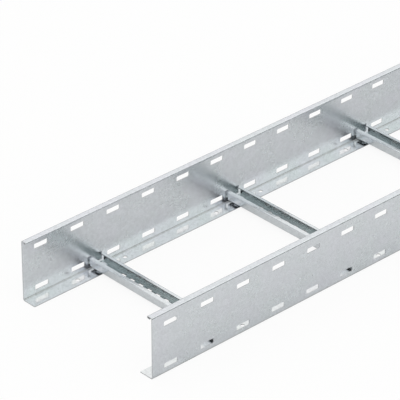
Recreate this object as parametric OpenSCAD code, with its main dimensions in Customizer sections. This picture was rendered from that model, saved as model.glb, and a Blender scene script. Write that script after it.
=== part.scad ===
// Cable ladder section: two slotted side rails of folded sheet steel, joined by perforated
// C-profile rungs. X runs along the ladder, Y across it and Z up. The origin is at the middle
// of the underside, at the height of the floor that the ladder lies on.

/* [Ladder] */
// Length of the section
ladder_length = 3000; // [900:300:6000]
// Width over the outer faces of the two side rails
ladder_width = 300; // [200:50:600]
// Distance between the centres of neighbouring rungs
rung_spacing = 300; // [200:50:600]

/* [Side rail] */
// Height of the side rail
rail_height = 110; // [105:5:150]
// Thickness of the side rail's sheet
rail_sheet = 1.5; // [1:0.1:2]
// Width of the bottom flange, from the outer face of the web
bottom_flange = 27.5; // [25:0.5:40]
// Width of the top flange, from the outer face of the web to the tip of its rolled edge
top_flange = 11; // [11:0.5:20]
// Outer radius of the bends between the web and its flanges
rail_bend = 3; // [2.5:0.1:4]
// Outer radius of the top flange's rolled edge
rolled_edge = 2.2; // [2.1:0.1:3]
// Length of the leg that the rolled edge turns back under the top flange
return_leg = 3.5; // [1:0.5:4]

/* [Slots in the web] */
// Length of a web slot, along the ladder
slot_length = 27; // [15:1:40]
// Height of a web slot
slot_height = 9; // [7:0.5:12]
// Corner radius of a web slot
slot_corner = 2; // [1:0.5:3]
// Distance between the centres of neighbouring slots in a row
slot_spacing = 75; // [50:5:100]
// Height of the lower row's centreline above the underside
lower_row_height = 14; // [12:0.5:20]
// Height between the centrelines of the two rows
row_spacing = 75; // [60:1:80]

/* [Holes in the bottom flange] */
// Diameter of a fixing hole
fixing_hole = 7; // [5:0.5:10]
// Distance of a fixing hole's centre from the centre of the rung that it belongs to
fixing_hole_offset = 50; // [35:1:70]
// Distance of the hole line from the outer face of the web
hole_line = 14.5; // [14:0.5:16]

/* [Rung] */
// Width of the rung's C profile
rung_width = 30; // [28:1:40]
// Height of the rung's C profile
rung_height = 15; // [12:1:25]
// Thickness of the rung's sheet
rung_sheet = 1.5; // [1:0.1:2]
// Width of the lengthwise opening between the rung's two lips
rung_opening = 17; // [10:0.5:20]
// Outer radius of the rung's four bends
rung_bend = 2; // [2:0.1:3]
// Gap between the rung's end and the inner face of the web
rung_end_gap = 3; // [2:0.1:4]
// Height of the rung's floor above the bottom flange, which is the depth of the pressed seat
rung_lift = 4.3; // [2:0.1:5]
// Radius of the seat's flat face, which is welded to the flange
seat_radius = 5.5; // [3:0.5:6]

/* [Perforation of the rung's floor] */
// Length of a perforation, across the rung
perforation_length = 18.5; // [8:0.5:20]
// Width of a perforation, along the rung
perforation_width = 10.5; // [6:0.5:12]
// Corner radius of a perforation
perforation_corner = 2; // [1:0.5:2.5]
// Distance between the centres of neighbouring perforations
perforation_spacing = 20; // [16:1:40]
// Least distance between the perforations and the edge of the bottom flange
perforation_margin = 25; // [10:1:40]

/* [Hidden] */
$fn = 64;
// How far a cutter runs past the faces that it cuts
overrun = 1;
// Least material left between a rail's end and the nearest slot or rung
end_margin = 10;
galvanised = [0.72, 0.74, 0.76];

// How many copies of one width fit in a span at a spacing
function copies(span, width, spacing) = floor((span - width) / spacing) + 1;

// Middle of copy i of a row that is centred on zero
function place(i, count, spacing) = (i - (count - 1) / 2) * spacing;

// Middles of all the copies of such a row
function places(count, spacing) = [for (i = [0:count - 1]) place(i, count, spacing)];

clear_length = ladder_length - 2 * end_margin;
slot_places = places(copies(clear_length, slot_length, slot_spacing), slot_spacing);
rung_count = copies(clear_length, rung_width, rung_spacing);
rung_places = places(rung_count, rung_spacing);

rung_length = ladder_width - 2 * (rail_sheet + rung_end_gap);
rung_floor = rail_sheet + rung_lift;
seat_place = ladder_width / 2 - hole_line;

perforated_span = ladder_width - 2 * (bottom_flange + perforation_margin);
perforation_count = copies(perforated_span, perforation_width, perforation_spacing);
perforation_places = places(perforation_count, perforation_spacing);

function rung_name(i) = str("rung_", i < 9 ? "0" : "", i + 1);

// Cross-section of a bend: part of a ring between two directions a right angle apart,
// given by the signs of the quadrant that it lies in
module bend_section(outer_radius, sheet, side_x, side_y) {
    intersection() {
        difference() {
            circle(outer_radius);
            circle(outer_radius - sheet);
        }
        translate([side_x < 0 ? -outer_radius : 0, side_y < 0 ? -outer_radius : 0])
            square(outer_radius);
    }
}

// Rectangle centred on the origin, with rounded corners
module rounded_rectangle(length, height, corner) {
    square([length - 2 * corner, height], center = true);
    square([length, height - 2 * corner], center = true);
    for (x = [-1, 1], y = [-1, 1])
        translate([x * (length / 2 - corner), y * (height / 2 - corner)])
            circle(corner);
}

// Cross-section of the side rail, with the outer face of its web on the vertical axis
// and its flanges pointing to the right
module rail_section() {
    roll_x = top_flange - rolled_edge;
    roll_y = rail_height - rolled_edge;
    // Web
    translate([0, rail_bend])
        square([rail_sheet, rail_height - 2 * rail_bend]);
    // Bottom flange and its bend
    translate([rail_bend, rail_bend])
        bend_section(rail_bend, rail_sheet, -1, -1);
    translate([rail_bend, 0])
        square([bottom_flange - rail_bend, rail_sheet]);
    // Top flange and its bend
    translate([rail_bend, rail_height - rail_bend])
        bend_section(rail_bend, rail_sheet, -1, 1);
    translate([rail_bend, rail_height - rail_sheet])
        square([roll_x - rail_bend, rail_sheet]);
    // Rolled edge, turned down and back under the top flange
    translate([roll_x, roll_y])
        bend_section(rolled_edge, rail_sheet, 1, 1);
    translate([roll_x, roll_y])
        bend_section(rolled_edge, rail_sheet, 1, -1);
    translate([roll_x - return_leg, rail_height - 2 * rolled_edge])
        square([return_leg, rail_sheet]);
}

// Cutter for one web slot, centred on the thickness of the web
module slot_cutter() {
    rotate([90, 0, 0])
        linear_extrude(rail_sheet + 2 * overrun, center = true)
            rounded_rectangle(slot_length, slot_height, slot_corner);
}

// Side rail at the negative end of Y, with its flanges pointing to positive Y
module side_rail() {
    outer_face = -ladder_width / 2;
    color(galvanised)
        difference() {
            translate([-ladder_length / 2, outer_face, 0])
                rotate([90, 0, 90])
                    linear_extrude(ladder_length)
                        rail_section();
            // Two rows of slots in the web
            for (x = slot_places, row = [0, 1])
                translate([x, outer_face + rail_sheet / 2, lower_row_height + row * row_spacing])
                    slot_cutter();
            // A fixing hole in the bottom flange on both sides of each rung
            for (x = rung_places, side = [-1, 1])
                translate([x + side * fixing_hole_offset, outer_face + hole_line, -overrun])
                    cylinder(h = rail_sheet + 2 * overrun, d = fixing_hole);
        }
}

// Cross-section of the rung, centred on the vertical axis with its floor on the horizontal one
module rung_section() {
    half = rung_width / 2;
    lip = (rung_width - rung_opening) / 2;
    translate([rung_bend - half, 0])
        square([rung_width - 2 * rung_bend, rung_sheet]);
    for (side = [0, 1])
        mirror([side, 0]) {
            // Wall
            translate([-half, rung_bend])
                square([rung_sheet, rung_height - 2 * rung_bend]);
            // Bends at the floor and at the lip
            translate([rung_bend - half, rung_bend])
                bend_section(rung_bend, rung_sheet, -1, -1);
            translate([rung_bend - half, rung_height - rung_bend])
                bend_section(rung_bend, rung_sheet, -1, 1);
            // Lip
            translate([rung_bend - half, rung_height - rung_sheet])
                square([lip - rung_bend, rung_sheet]);
        }
}

// Outside of the dished seat that is pressed down from the rung's floor onto the flange
module seat_body() {
    rotate_extrude()
        polygon([[0, -rung_lift], [seat_radius, -rung_lift], [seat_radius + rung_lift, 0], [0, 0]]);
}

// Hollow of the seat, open to the inside of the rung, which leaves the sheet's thickness
module seat_hollow() {
    inset = rung_sheet * (sqrt(2) - 1);
    mouth = seat_radius + rung_lift - inset;
    rotate_extrude()
        polygon([
            [0, rung_sheet - rung_lift],
            [seat_radius - inset, rung_sheet - rung_lift],
            [mouth, rung_sheet],
            [mouth + overrun, rung_sheet + overrun],
            [0, rung_sheet + overrun]
        ]);
}

// One rung across the ladder, centred on the origin and lying at its height
module rung() {
    color(galvanised)
        translate([0, 0, rung_floor])
            difference() {
                union() {
                    rotate([90, 0, 0])
                        linear_extrude(rung_length, center = true)
                            rung_section();
                    for (side = [-1, 1])
                        translate([0, side * seat_place, 0])
                            seat_body();
                }
                for (side = [-1, 1])
                    translate([0, side * seat_place, 0])
                        seat_hollow();
                // Row of perforations across the floor
                for (y = perforation_places)
                    translate([0, y, -overrun])
                        linear_extrude(rung_sheet + 2 * overrun)
                            rounded_rectangle(perforation_length, perforation_width, perforation_corner);
            }
}

mirror([0, 1, 0]) side_rail();  // side_rail_left
side_rail();  // side_rail_right
for (i = [0:rung_count - 1])
    translate([rung_places[i], 0, 0]) rung();
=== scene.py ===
# Cable ladder section: the finished sheet-metal pieces, their galvanised surface, and the studio.
import math

import bmesh
import bpy
from mathutils import Matrix, Vector


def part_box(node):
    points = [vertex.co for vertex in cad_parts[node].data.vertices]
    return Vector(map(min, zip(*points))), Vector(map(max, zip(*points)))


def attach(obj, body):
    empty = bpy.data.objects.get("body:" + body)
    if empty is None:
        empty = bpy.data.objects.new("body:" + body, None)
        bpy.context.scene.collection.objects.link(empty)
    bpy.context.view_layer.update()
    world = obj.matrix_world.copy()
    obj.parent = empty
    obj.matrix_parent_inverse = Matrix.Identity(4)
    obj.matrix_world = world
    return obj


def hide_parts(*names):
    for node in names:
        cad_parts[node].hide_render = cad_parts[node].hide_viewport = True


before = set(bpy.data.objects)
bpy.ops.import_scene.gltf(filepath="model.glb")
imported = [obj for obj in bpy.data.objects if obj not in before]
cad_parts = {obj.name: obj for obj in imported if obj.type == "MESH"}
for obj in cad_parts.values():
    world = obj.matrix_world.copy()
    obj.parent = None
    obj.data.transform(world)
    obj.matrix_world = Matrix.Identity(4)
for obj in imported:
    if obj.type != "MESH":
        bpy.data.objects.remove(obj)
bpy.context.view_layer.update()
MM = 0.001


def corners(node):
    """Lowest and highest corner of a CAD node, in millimetres."""
    low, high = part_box(node)
    return Vector(low) / MM, Vector(high) / MM


# ---------------------------------------------------------------- sizes in millimetres
# The pieces' boxes give the outer sizes, and the rest repeats the part's own sizes.
RAIL_LOW, RAIL_HIGH = corners("side_rail_right")
LADDER_LENGTH = round(RAIL_HIGH.x - RAIL_LOW.x, 3)
OUTER_FACE = round(-RAIL_LOW.y, 3)
RAIL_HEIGHT = round(RAIL_HIGH.z, 3)
BOTTOM_FLANGE = round(RAIL_HIGH.y - RAIL_LOW.y, 3)
RAIL_SHEET = 1.5
RAIL_BEND = 3.0
TOP_FLANGE = 11.0
ROLLED_EDGE = 2.2
RETURN_LEG = 3.5

SLOT_PITCH = 75.0
SLOT_LENGTH = 27.0
SLOT_HEIGHT = 9.0
SLOT_CORNER = 2.0
SLOT_ROWS = (14.0, 89.0)
HOLE_RADIUS = 3.5
HOLE_LINE = 14.5
HOLE_OFFSET = 50.0

RUNGS = sorted(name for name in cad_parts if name.startswith("rung_"))
RUNG_PLACES = [round((corners(name)[0].x + corners(name)[1].x) / 2, 3) for name in RUNGS]
RUNG_LOW, RUNG_HIGH = corners(RUNGS[0])
RUNG_END = round(RUNG_HIGH.y, 3)
RUNG_HALF = round((RUNG_HIGH.x - RUNG_LOW.x) / 2, 3)
SEAT_FACE = round(RUNG_LOW.z, 3)
RUNG_TOP = round(RUNG_HIGH.z, 3)
RUNG_HEIGHT = 15.0
RUNG_FLOOR = RUNG_TOP - RUNG_HEIGHT
RUNG_SHEET = 1.5
RUNG_BEND = 2.0
RUNG_OPENING = 17.0
SEAT_PLACE = OUTER_FACE - HOLE_LINE
# Radius where the dished seat leaves the rung's floor, the inner radius of its two bends, and
# the steps in a quarter of a ring around it
SEAT_REACH = 9.75
SEAT_FILLET = 0.6
RING_STEPS = 8
# The weld's mark on the two faces of the seat: radius, height above or below the face
WELD_TOP = ((3.1, 0), (2.85, 0.1), (2.6, 0), (2.3, -0.15), (1.2, -0.2))
WELD_UNDER = ((2.5, 0), (1.2, 0))
PERFORATION = (18.5, 10.5)
PERFORATION_CORNER = 2.0
PERFORATION_PITCH = 20.0
PERFORATIONS = 10

# How much of a punched edge is rounded over on the side that the punch entered, and in how
# many steps
ROLLOVER = 0.25
ROLLOVER_STEPS = 3
# Steps in a bend of the sheet, and in a corner of a punched opening
BEND_STEPS = 8
CORNER_STEPS = 6
# Bends sharper than this many degrees stay an edge in the shading
SHARP_ANGLE = 35
# Corners of the mesh that lie closer than this, in millimetres, are one
WELD_DISTANCE = 0.002


# ---------------------------------------------------------------- outlines
def arc(centre_x, centre_y, radius, start, end, steps=BEND_STEPS):
    """Points along an arc between two angles in degrees, both ends included."""
    points = []
    for i in range(steps + 1):
        angle = math.radians(start + (end - start) * i / steps)
        points.append((centre_x + radius * math.cos(angle), centre_y + radius * math.sin(angle)))
    return points


def rounded_rectangle(length, height, corner):
    """Anticlockwise outline, as one list of points for each of its four corners."""
    x, y = length / 2 - corner, height / 2 - corner
    centres = [(x, y), (-x, y), (-x, -y), (x, -y)]
    return [
        arc(*centre, corner, 90 * k, 90 * k + 90, CORNER_STEPS) for k, centre in enumerate(centres)
    ]


def circle(radius):
    """Anticlockwise outline of a circle, as one list of points for each quadrant."""
    return [arc(0, 0, radius, 90 * k, 90 * k + 90, RING_STEPS) for k in range(4)]


def moved(quadrants, x, y):
    """The outline moved to another place."""
    return [[(px + x, py + y) for px, py in part] for part in quadrants]


def grown(quadrants, distance):
    """The outline moved outwards by a distance: each point away from its arc's centre."""
    result = []
    for k, part in enumerate(quadrants):
        ring = []
        for i, (x, y) in enumerate(part):
            angle = math.radians(90 * k + 90 * i / (len(part) - 1))
            ring.append((x + distance * math.cos(angle), y + distance * math.sin(angle)))
        result.append(ring)
    return result


# ---------------------------------------------------------------- meshes
# Material slots of a piece: the sheet's faces, its sheared edges and the inside of a rung,
# which is darkened as painted shade
ZINC, EDGE, INSIDE_PAINTED_SHADE = 0, 1, 2


class Sheet:
    """Collects the faces of one folded sheet, in millimetres, and joins equal corners."""

    def __init__(self):
        self.points, self.index, self.faces, self.slots = [], {}, [], []

    def corner(self, point):
        """Number of the corner at a point. A corner that is there already is used again."""
        key = tuple(round(c, 4) for c in point)
        if key not in self.index:
            self.index[key] = len(self.points)
            self.points.append(key)
        return self.index[key]

    def face(self, points, slot=ZINC):
        """Adds a face, without the corners that repeat."""
        ids = []
        for point in points:
            i = self.corner(point)
            if i not in ids:
                ids.append(i)
        if len(ids) > 2:
            self.faces.append(ids)
            self.slots.append(slot)

    def ring(self, first, second, slot=ZINC):
        """A closed band of faces between two loops of points."""
        count = len(first)
        for i in range(count):
            j = (i + 1) % count
            self.face([first[i], first[j], second[j], second[i]], slot)

    def fold(self, profile, stations, lift, skipped):
        """The strips of a constant section, its two long edges and its two cut ends.

        profile holds pairs of points, on the outer and the inner face of the sheet. skipped
        holds the segments of the profile whose two flat faces are made elsewhere.
        """
        for s0, s1 in zip(stations, stations[1:]):
            for k, (first, second) in enumerate(zip(profile, profile[1:])):
                if k in skipped:
                    continue
                for side in (0, 1):
                    a, b = first[side], second[side]
                    self.face([lift(s0, a), lift(s1, a), lift(s1, b), lift(s0, b)])
            for a, b in (profile[0], profile[-1]):
                self.face([lift(s0, a), lift(s1, a), lift(s1, b), lift(s0, b)], EDGE)
        for s in (stations[0], stations[-1]):
            for (a, b), (c, d) in zip(profile, profile[1:]):
                self.face([lift(s, a), lift(s, b), lift(s, d), lift(s, c)], EDGE)

    def reslot(self, low, high, slot):
        """Gives a slot to the zinc faces that lie within a box."""
        slack = 0.01

        def inside(point):
            return all(a - slack < c < b + slack for a, c, b in zip(low, point, high))

        for k, ids in enumerate(self.faces):
            if self.slots[k] == ZINC and all(inside(self.points[i]) for i in ids):
                self.slots[k] = slot

    def build(self, name, shift=(0, 0, 0), mirror_y=False):
        """Makes the object from the points moved by a shift, in millimetres."""
        mesh = bpy.data.meshes.new(name)
        flip = -1 if mirror_y else 1
        vertices = [
            ((x + shift[0]) * MM, flip * (y + shift[1]) * MM, (z + shift[2]) * MM)
            for x, y, z in self.points
        ]
        mesh.from_pydata(vertices, [], self.faces)
        mesh.polygons.foreach_set("material_index", self.slots)
        close_up(mesh)
        mesh.polygons.foreach_set("use_smooth", [True] * len(mesh.polygons))
        mesh.set_sharp_from_angle(angle=math.radians(SHARP_ANGLE))
        piece = bpy.data.objects.new(name, mesh)
        bpy.context.scene.collection.objects.link(piece)
        normals = piece.modifiers.new("flat_faces", "WEIGHTED_NORMAL")
        normals.mode = "FACE_AREA"
        normals.keep_sharp = True
        return piece


def close_up(mesh):
    """Joins corners that lie together and turns every face to the outside."""
    work = bmesh.new()
    work.from_mesh(mesh)
    bmesh.ops.remove_doubles(work, verts=work.verts, dist=WELD_DISTANCE * MM)
    bmesh.ops.recalc_face_normals(work, faces=work.faces)
    work.to_mesh(mesh)
    work.free()


def loop_of(quadrants):
    """One closed loop of points from the four parts of an outline."""
    points = []
    for part in quadrants:
        for p in part:
            if not points or math.dist(p, points[-1]) > 1e-6:
                points.append(p)
    if math.dist(points[0], points[-1]) < 1e-6:
        points.pop()
    return points


def plate_around(sheet, lift, low, high, quadrants):
    """A rectangle with one hole in it, as fans from its corners. lift makes a 3-D point."""
    rim = [(high[0], high[1]), (low[0], high[1]), (low[0], low[1]), (high[0], low[1])]
    for k, part in enumerate(quadrants):
        following = rim[(k + 1) % 4]
        for a, b in zip(part, part[1:]):
            sheet.face([lift(rim[k]), lift(a), lift(b)])
        sheet.face([lift(rim[k]), lift(part[-1]), lift(following)])
        sheet.face([lift(following), lift(part[-1]), lift(quadrants[(k + 1) % 4][0])])


def plain_plate(sheet, lift, low, high):
    """A rectangle without a hole. lift makes a 3-D point."""
    rim = [low, (high[0], low[1]), high, (low[0], high[1])]
    sheet.face([lift(p) for p in rim])


def punched(sheet, lift, low, high, quadrants, front, back):
    """A hole through a flat piece of sheet, with the edge rounded over on the front face.

    lift makes a 3-D point from a point of the plate and a depth; front and back are the
    depths of the two faces.
    """
    inwards = 1 if back > front else -1
    plate_around(sheet, lambda p: lift(p, front), low, high, grown(quadrants, ROLLOVER))
    plate_around(sheet, lambda p: lift(p, back), low, high, quadrants)
    loops = []
    for i in range(ROLLOVER_STEPS + 1):
        angle = math.pi / 2 * i / ROLLOVER_STEPS
        spread = ROLLOVER * (1 - math.sin(angle))
        depth = front + inwards * ROLLOVER * (1 - math.cos(angle))
        loops.append([lift(p, depth) for p in loop_of(grown(quadrants, spread))])
    for a, b in zip(loops, loops[1:]):
        sheet.ring(a, b)
    sheet.ring(loops[-1], [lift(p, back) for p in loop_of(quadrants)], EDGE)


# ---------------------------------------------------------------- side rail
def rail_profile():
    """Outer and inner points along the rail's section: distance from the web's face, height."""
    profile = [((BOTTOM_FLANGE, 0), (BOTTOM_FLANGE, RAIL_SHEET))]

    def bend(centre_x, centre_y, radius, start, end):
        """A bend between two angles, about a centre inside it."""
        outer = arc(centre_x, centre_y, radius, start, end)
        inner = arc(centre_x, centre_y, radius - RAIL_SHEET, start, end)
        profile.extend(zip(outer, inner))

    bend(RAIL_BEND, RAIL_BEND, RAIL_BEND, 270, 180)
    middle = sum(SLOT_ROWS) / 2
    profile.append(((0, middle), (RAIL_SHEET, middle)))
    bend(RAIL_BEND, RAIL_HEIGHT - RAIL_BEND, RAIL_BEND, 180, 90)
    roll = (TOP_FLANGE - ROLLED_EDGE, RAIL_HEIGHT - ROLLED_EDGE)
    bend(*roll, ROLLED_EDGE, 90, 0)
    # The two halves of the rolled edge share a pair of points
    profile.pop()
    bend(*roll, ROLLED_EDGE, 0, -90)
    leg = roll[0] - RETURN_LEG
    bottom = RAIL_HEIGHT - 2 * ROLLED_EDGE
    profile.append(((leg, bottom), (leg, bottom + RAIL_SHEET)))
    return profile


def rail_sheet():
    """The right side rail, with its slots and holes. The stations part it between the slots."""
    sheet = Sheet()
    half = LADDER_LENGTH / 2
    count = round(LADDER_LENGTH / SLOT_PITCH)
    stations = [i * SLOT_PITCH - half for i in range(count + 1)]
    profile = rail_profile()
    flange = 0
    segments = enumerate(zip(profile, profile[1:]))
    web = [k for k, (a, b) in segments if abs(a[0][0]) < 1e-6 and abs(b[0][0]) < 1e-6]

    def along(s, p):
        return (s, p[0] - OUTER_FACE, p[1])

    def on_web(p, depth):
        return (p[0], depth - OUTER_FACE, p[1])

    def on_flange(p, height):
        return (p[0], p[1] - OUTER_FACE, height)

    sheet.fold(profile, stations, along, [flange, *web])
    bounds_of_web = [RAIL_BEND, sum(SLOT_ROWS) / 2, RAIL_HEIGHT - RAIL_BEND]
    holes = [x + side * HOLE_OFFSET for x in RUNG_PLACES for side in (-1, 1)]
    slot = rounded_rectangle(SLOT_LENGTH, SLOT_HEIGHT, SLOT_CORNER)
    for s0, s1 in zip(stations, stations[1:]):
        for bottom, top, row in zip(bounds_of_web, bounds_of_web[1:], SLOT_ROWS):
            outline = moved(slot, (s0 + s1) / 2, row)
            punched(sheet, on_web, (s0, bottom), (s1, top), outline, 0, RAIL_SHEET)
        low, high = (s0, RAIL_BEND), (s1, BOTTOM_FLANGE)
        here = [x for x in holes if s0 < x < s1]
        if here:
            outline = moved(circle(HOLE_RADIUS), here[0], HOLE_LINE)
            punched(sheet, on_flange, low, high, outline, RAIL_SHEET, 0)
        else:
            for height in (0, RAIL_SHEET):
                plain_plate(sheet, lambda p: on_flange(p, height), low, high)
    return sheet


# ---------------------------------------------------------------- rung
def rung_profile():
    """Outer and inner points along the rung's section: distance from its middle, height."""
    lip, wall = RUNG_OPENING / 2, RUNG_HALF - RUNG_BEND
    half = [((lip, RUNG_HEIGHT), (lip, RUNG_HEIGHT - RUNG_SHEET))]
    for height, start in ((RUNG_HEIGHT - RUNG_BEND, 90), (RUNG_BEND, 0)):
        outer = arc(wall, height, RUNG_BEND, start, start - 90)
        inner = arc(wall, height, RUNG_BEND - RUNG_SHEET, start, start - 90)
        half.extend(zip(outer, inner))
    other = [((-a[0], a[1]), (-b[0], b[1])) for a, b in half]
    return other + half[::-1]


def seat_faces(sheet, middle):
    """The dished seat: both faces of the sheet, down from the rung's floor to the flange."""
    bend = SEAT_FILLET + RUNG_SHEET / 2
    tangent = bend * math.tan(math.pi / 8)
    depth = RUNG_FLOOR - SEAT_FACE
    outside = SEAT_REACH
    inside = outside - 2 * tangent - depth
    for face, weld in ((1, WELD_TOP), (-1, WELD_UNDER)):
        upper = bend + face * RUNG_SHEET / 2
        lower = bend - face * RUNG_SHEET / 2
        line = arc(outside, RUNG_SHEET / 2 - bend, upper, 90, 135, 4)
        line += arc(inside, RUNG_SHEET / 2 - depth + bend, lower, -45, -90, 4)
        line += [(r, line[-1][1] + dz) for r, dz in weld]
        loops = []
        for r, z in line:
            loops.append([(x, y + middle, z) for x, y in loop_of(circle(r))])
        for a, b in zip(loops, loops[1:]):
            sheet.ring(a, b)
        tip = (0, middle, line[-1][1])
        for a, b in zip(loops[-1], loops[-1][1:] + loops[-1][:1]):
            sheet.face([a, b, tip])


def rung_sheet():
    """One rung about its own middle, with its underside at zero. The stations part its floor
    into a square for each seat, a square for each perforation and the plain lengths between."""
    sheet = Sheet()
    wall = RUNG_HALF - RUNG_BEND
    reach = PERFORATIONS * PERFORATION_PITCH / 2
    seat = RUNG_END - SEAT_PLACE
    inner = [i * PERFORATION_PITCH - reach for i in range(PERFORATIONS + 1)]
    stations = [-RUNG_END, -RUNG_END + 2 * seat, *inner, RUNG_END - 2 * seat, RUNG_END]
    profile = rung_profile()
    segments = enumerate(zip(profile, profile[1:]))
    floor = [k for k, (a, b) in segments if abs(b[0][0] - a[0][0]) > wall]

    def along(s, p):
        return (p[0], s, p[1])

    def on_floor(p, height):
        return (p[0], p[1], height)

    sheet.fold(profile, stations, along, floor)
    opening = rounded_rectangle(*PERFORATION, PERFORATION_CORNER)
    for s0, s1 in zip(stations, stations[1:]):
        middle = (s0 + s1) / 2
        low, high = (-wall, s0), (wall, s1)
        if abs(middle) < reach:
            punched(sheet, on_floor, low, high, moved(opening, 0, middle), RUNG_SHEET, 0)
        elif abs(middle) > SEAT_PLACE - seat / 2:
            rim = moved(circle(SEAT_REACH), 0, middle)
            for height in (0, RUNG_SHEET):
                plate_around(sheet, lambda p: on_floor(p, height), low, high, rim)
            seat_faces(sheet, middle)
        else:
            for height in (0, RUNG_SHEET):
                plain_plate(sheet, lambda p: on_floor(p, height), low, high)
    # The faces inside the channel take the darker tint: painted shade in the recess
    inner_half, ceiling = RUNG_HALF - RUNG_SHEET, RUNG_HEIGHT - RUNG_SHEET
    low, high = (-inner_half, -RUNG_END, RUNG_SHEET), (inner_half, RUNG_END, ceiling)
    sheet.reslot(low, high, INSIDE_PAINTED_SHADE)
    return sheet


# ---------------------------------------------------------------- materials
X_AXIS, Y_AXIS = 0, 1
BLACK, WHITE = (0, 0, 0), (1, 1, 1)

# How many of each of the zinc's features there are to a metre
CLOUDS, WAVES, CRYSTALS, MOTTLES, GRAINS = 20.0, 14.0, 210.0, 240.0, 600.0
STREAKS_ALONG, STREAKS_ACROSS = 6.0, 220.0

# Tints of the zinc: two for the rails' clouds, one outside the rungs and one inside them,
# the inside one darker as painted shade in the channel
LILAC, GREEN = (0.743, 0.758, 0.808), (0.727, 0.762, 0.792)
BRIGHT, RUNG_INSIDE_PAINTED_SHADE = (0.700, 0.728, 0.757), (0.535, 0.585, 0.597)
# What the rails' tints are multiplied by on the bottom flange, in its bend and on the web.
# The flange's factor is painted light and the bend's factor is painted shade.
FLANGE_PAINTED_LIGHT, BEND_PAINTED_SHADE, ON_WEB = (0.97, 0.965, 0.935), (0.66, 0.66, 0.64), (0.917, 0.917, 0.917)


class Nodes:
    """Short calls for building a node tree."""

    def __init__(self, tree):
        self.tree = tree
        self.tree.nodes.clear()

    def add(self, kind, inputs=None, **settings):
        node = self.tree.nodes.new(kind)
        for key, value in settings.items():
            setattr(node, key, value)
        for key, value in (inputs or {}).items():
            self.put(node.inputs[key], value)
        return node

    def put(self, socket, value):
        """Links a node's output to a socket, or sets the socket's own value."""
        if isinstance(value, bpy.types.NodeSocket):
            self.tree.links.new(value, socket)
        elif socket.type == "RGBA":
            socket.default_value = (*value[:3], 1)
        else:
            socket.default_value = value

    def math(self, operation, first, second=0.0, third=0.0):
        node = self.add("ShaderNodeMath", {0: first, 1: second, 2: third}, operation=operation)
        return node.outputs[0]

    def vector(self, operation, first, second=(0, 0, 0)):
        inputs = {0: first, 1: second}
        return self.add("ShaderNodeVectorMath", inputs, operation=operation).outputs[0]

    def parts(self, vector):
        """The three coordinates of a vector."""
        return self.add("ShaderNodeSeparateXYZ", {0: vector}).outputs

    def ramp(self, value, stops):
        """Colour that follows a value through pairs of a position and a colour."""
        node = self.add("ShaderNodeValToRGB", {0: value})
        band = node.color_ramp.elements
        while len(band) < len(stops):
            band.new(0.5)
        for element, (position, colour) in zip(band, stops):
            element.position = position
            element.color = (*colour, 1)
        return node.outputs[0]

    def blend(self, share, first, second):
        """Colour between two others."""
        inputs = {0: share, 6: first, 7: second}
        return self.add("ShaderNodeMix", inputs, data_type="RGBA").outputs[2]

    def times(self, first, second):
        """Product of two colours."""
        inputs = {0: 1.0, 6: first, 7: second}
        return self.add("ShaderNodeMix", inputs, data_type="RGBA", blend_type="MULTIPLY").outputs[2]

    def noise(self, vector, scale, detail):
        inputs = {"Vector": vector, "Scale": scale, "Detail": detail}
        return self.add("ShaderNodeTexNoise", inputs).outputs["Fac"]

    def metal(self, colour, rough, bump):
        """Ends the tree in a bare metal surface."""
        normal = bump.outputs[0]
        inputs = {"Base Color": colour, "Metallic": 1.0, "Roughness": rough, "Normal": normal}
        skin = self.add("ShaderNodeBsdfPrincipled", inputs)
        self.add("ShaderNodeOutputMaterial", {"Surface": skin.outputs[0]})


def new_material(name):
    material = bpy.data.materials.new(name)
    material.use_nodes = True
    return material, Nodes(material.node_tree)


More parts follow.
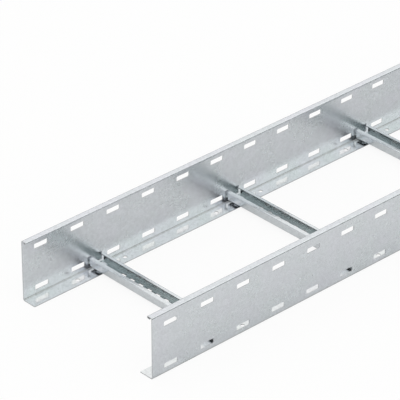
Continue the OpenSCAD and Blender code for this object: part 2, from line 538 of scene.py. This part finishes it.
def zinc(name, rolled, tints, dull, smooth_flange_painted_light_and_shade=False):
    """Hot-dip galvanised sheet: small crystals, clouds of tint and streaks along the rolling.

    rolled is the axis that the sheet was rolled along, tints the clouds' two colours and dull
    the roughness. With smooth_flange_painted_light_and_shade, the zinc near the underside is a
    rail's: smoother on the bottom flange, with painted light that makes the flange brighter and
    painted shade that makes the bend between the flange and the web dark.
    """
    material, n = new_material(name)
    place = n.add("ShaderNodeTexCoord").outputs["Object"]
    cloud = n.noise(place, CLOUDS, 2.0)
    wave = n.noise(place, WAVES, 1.0)
    mottle = n.noise(place, MOTTLES, 2.0)
    grain = n.noise(place, GRAINS, 2.0)
    stretch = [STREAKS_ACROSS] * 3
    stretch[rolled] = STREAKS_ALONG
    drawn = n.add("ShaderNodeMapping", {"Vector": place, "Scale": stretch}).outputs[0]
    streak = n.noise(drawn, 1.0, 3.0)
    cells = {"Vector": place, "Scale": CRYSTALS, "Randomness": 1.0}
    crystal = n.add("ShaderNodeTexVoronoi", cells).outputs["Color"]
    flake = n.add("ShaderNodeSeparateColor", {0: crystal}).outputs[0]

    # Colour: the clouds' tint, a little lighter or darker by flake, mottle and streak
    shade = n.math("MULTIPLY_ADD", flake, 0.07, 0.965)
    shade = n.math("MULTIPLY_ADD", mottle, 0.24, n.math("SUBTRACT", shade, 0.12))
    shade = n.math("MULTIPLY_ADD", streak, 0.06, n.math("SUBTRACT", shade, 0.03))
    colour = n.times(n.ramp(cloud, [(0.35, tints[0]), (0.65, tints[1])]), shade)
    rough = n.math("MULTIPLY_ADD", cloud, 0.06, dull)
    rough = n.math("MULTIPLY_ADD", flake, 0.012, rough)
    if smooth_flange_painted_light_and_shade:
        # The ramps read the height in centimetres
        height = n.math("MULTIPLY", n.parts(place)[2], 100.0)
        # Painted light and shade: the flange's colour is made lighter and the bend's darker than
        # the web's
        stops = [(0.152, FLANGE_PAINTED_LIGHT), (0.165, BEND_PAINTED_SHADE), (0.28, BEND_PAINTED_SHADE), (0.40, ON_WEB)]
        colour = n.times(colour, n.ramp(height, stops))
        smoother = n.ramp(height, [(0.152, (0.10, 0.10, 0.10)), (0.165, BLACK)])
        rough = n.math("SUBTRACT", rough, smoother)

    # Relief: the sheet's waves and the grain as bump, and each crystal tilted its own way
    relief = n.math("MULTIPLY_ADD", wave, 8.0, n.math("MULTIPLY", mottle, 0.22))
    relief = n.math("MULTIPLY_ADD", grain, 0.07, relief)
    tilt = n.vector("MULTIPLY", n.vector("SUBTRACT", crystal, (0.5,) * 3), (0.014,) * 3)
    facing = n.add("ShaderNodeNewGeometry").outputs["Normal"]
    facet = n.vector("NORMALIZE", n.vector("ADD", facing, tilt))
    inputs = {"Strength": 0.6, "Distance": 0.00003, "Height": relief, "Normal": facet}
    n.metal(colour, rough, n.add("ShaderNodeBump", inputs))
    return material


def cut_edge(name):
    """Sheared edge of the sheet: duller, with a fine grain."""
    material, n = new_material(name)
    place = n.add("ShaderNodeTexCoord").outputs["Object"]
    grain = n.noise(place, 900.0, 3.0)
    colour = n.ramp(grain, [(0.3, (0.40, 0.41, 0.43)), (0.7, (0.55, 0.56, 0.57))])
    rough = n.math("MULTIPLY_ADD", grain, 0.2, 0.32)
    inputs = {"Strength": 0.5, "Distance": 0.00005, "Height": grain}
    n.metal(colour, rough, n.add("ShaderNodeBump", inputs))
    return material


# ---------------------------------------------------------------- the ladder
rail_zinc = zinc("rail_galvanised", X_AXIS, (LILAC, GREEN), 0.23, smooth_flange_painted_light_and_shade=True)
rung_zinc = zinc("rung_galvanised", Y_AXIS, (BRIGHT, BRIGHT), 0.18)
# Darker zinc for the inside of the rungs' channel: painted shade
inside_painted_shade_zinc = zinc("rung_galvanised_inside_painted_shade", Y_AXIS, (RUNG_INSIDE_PAINTED_SHADE, RUNG_INSIDE_PAINTED_SHADE), 0.20)
edge_steel = cut_edge("cut_edge_steel")


def finish_piece(piece, node, materials):
    """Gives a piece its materials, in the order of its slots, and puts it in a node's place."""
    for material in materials:
        piece.data.materials.append(material)
    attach(piece, "root")
    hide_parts(node)


rail = rail_sheet()
for side, mirrored in (("right", False), ("left", True)):
    piece = rail.build(f"rail_{side}_folded_sheet", mirror_y=mirrored)
    finish_piece(piece, f"side_rail_{side}", (rail_zinc, edge_steel))

rung = rung_sheet()
for node, x in zip(RUNGS, RUNG_PLACES):
    piece = rung.build(f"{node}_perforated_channel", (x, 0, RUNG_FLOOR))
    finish_piece(piece, node, (rung_zinc, edge_steel, inside_painted_shade_zinc))


# ---------------------------------------------------------------- studio
# Half the floor's side, and how far it lies under the ladder, so that no two faces share a plane
FLOOR_HALF = 60.0
FLOOR_DROP = 0.0001
# Of what the camera sees of the floor, this share is plain white and the rest takes the shadow
WHITE_SHARE = 0.9
ROOM_STRENGTH = 1.35


def floor_material():
    """White studio floor that still takes the ladder's shadow, and is clear from below.

    The zinc mirrors it as paper that ends in front of the ladder. The ladder's own underside
    sees through it, so that it doesn't turn black for lack of light.
    """
    material, n = new_material("studio_floor")
    path = n.add("ShaderNodeLightPath").outputs
    place = n.add("ShaderNodeTexCoord").outputs["Object"]
    from_the_front = n.math("ADD", n.parts(place)[1], 1.0)
    paper = n.ramp(from_the_front, [(0.15, (0.1, 0.1, 0.1)), (0.50, WHITE)])
    not_glossy = n.math("SUBTRACT", 1.0, path["Is Glossy Ray"])
    tone = n.math("MULTIPLY", n.math("MAXIMUM", paper, not_glossy), 0.83)
    matt = n.add("ShaderNodeBsdfDiffuse", {"Color": tone})
    white = n.add("ShaderNodeEmission", {"Color": WHITE, "Strength": 1.0})
    seen = n.math("MAXIMUM", path["Is Camera Ray"], path["Is Transmission Ray"])
    share = n.math("MULTIPLY", seen, WHITE_SHARE)
    above = n.add("ShaderNodeMixShader", {0: share, 1: matt.outputs[0], 2: white.outputs[0]})
    short = n.math("LESS_THAN", path["Ray Length"], 10 * FLOOR_DROP)
    underside = n.math("MULTIPLY", short, path["Is Glossy Ray"])
    backface = n.add("ShaderNodeNewGeometry").outputs["Backfacing"]
    through = n.math("MAXIMUM", backface, underside)
    clear = n.add("ShaderNodeBsdfTransparent")
    surface = n.add("ShaderNodeMixShader", {0: through, 1: above.outputs[0], 2: clear.outputs[0]})
    n.add("ShaderNodeOutputMaterial", {"Surface": surface.outputs[0]})
    return material


def make_floor():
    mesh = bpy.data.meshes.new("studio_floor")
    signs = ((-1, -1), (1, -1), (1, 1), (-1, 1))
    rim = [(x * FLOOR_HALF, y * FLOOR_HALF, -FLOOR_DROP) for x, y in signs]
    mesh.from_pydata(rim, [], [(0, 1, 2, 3)])
    mesh.materials.append(floor_material())
    floor = bpy.data.objects.new("studio_floor", mesh)
    bpy.context.scene.collection.objects.link(floor)


def make_world():
    """Soft white room with a softbox above the front, and a dim panel low on the right.

    The rails' bends and the rungs mirror that panel. The camera sees plain white.
    """
    world = bpy.data.worlds.new("studio")
    world.use_nodes = True
    n = Nodes(world.node_tree)
    path = n.add("ShaderNodeLightPath").outputs
    way = n.add("ShaderNodeTexCoord").outputs["Generated"]
    across, back, rise = [n.math("MULTIPLY_ADD", part, 0.5, 0.5) for part in n.parts(way)]
    softbox, ceiling, wall = (0.98, 1.0, 0.96), (0.82, 0.82, 0.806), (0.75, 0.75, 0.74)
    panel = (0.036, 0.051, 0.056)

    # Above the horizon there is the panel or the wall, then the softbox in front, then the
    # ceiling. 0.5 is the middle of each way through the room.
    horizon = n.ramp(across, [(0.45, wall), (0.65, panel)])
    front = n.ramp(rise, [(0.79, softbox), (0.85, ceiling)])
    above = n.blend(n.ramp(back, [(0.30, BLACK), (0.60, WHITE)]), front, ceiling)
    room = n.blend(n.ramp(rise, [(0.61, BLACK), (0.67, WHITE)]), horizon, above)
    room = n.blend(n.ramp(rise, [(0.47, BLACK), (0.50, WHITE)]), wall, room)
    light = n.add("ShaderNodeBackground", {"Color": room, "Strength": ROOM_STRENGTH})
    white = n.add("ShaderNodeBackground", {"Color": WHITE, "Strength": 1.0})
    seen = n.math("MAXIMUM", path["Is Camera Ray"], path["Is Transmission Ray"])
    mix = n.add("ShaderNodeMixShader", {0: seen, 1: light.outputs[0], 2: white.outputs[0]})
    n.add("ShaderNodeOutputWorld", {"Surface": mix.outputs[0]})
    bpy.context.scene.world = world


def make_camera():
    data = bpy.data.cameras.new("photo_view")
    data.sensor_width = 36.0
    data.lens = 276.6
    data.clip_start, data.clip_end = 0.1, 200.0
    camera = bpy.data.objects.new("photo_view", data)
    looking = Vector((0.58423, 0.62682, -0.51555)).normalized()
    right = looking.cross(Vector((0, 0, 1))).normalized()
    up = right.cross(looking)
    turn = Matrix((right, up, -looking)).transposed().to_4x4()
    camera.matrix_world = Matrix.Translation((-4.0436, -2.9833, 2.6052)) @ turn
    bpy.context.scene.collection.objects.link(camera)
    bpy.context.scene.camera = camera


make_floor()
make_world()
make_camera()
bpy.context.scene.view_settings.view_transform = "Standard"
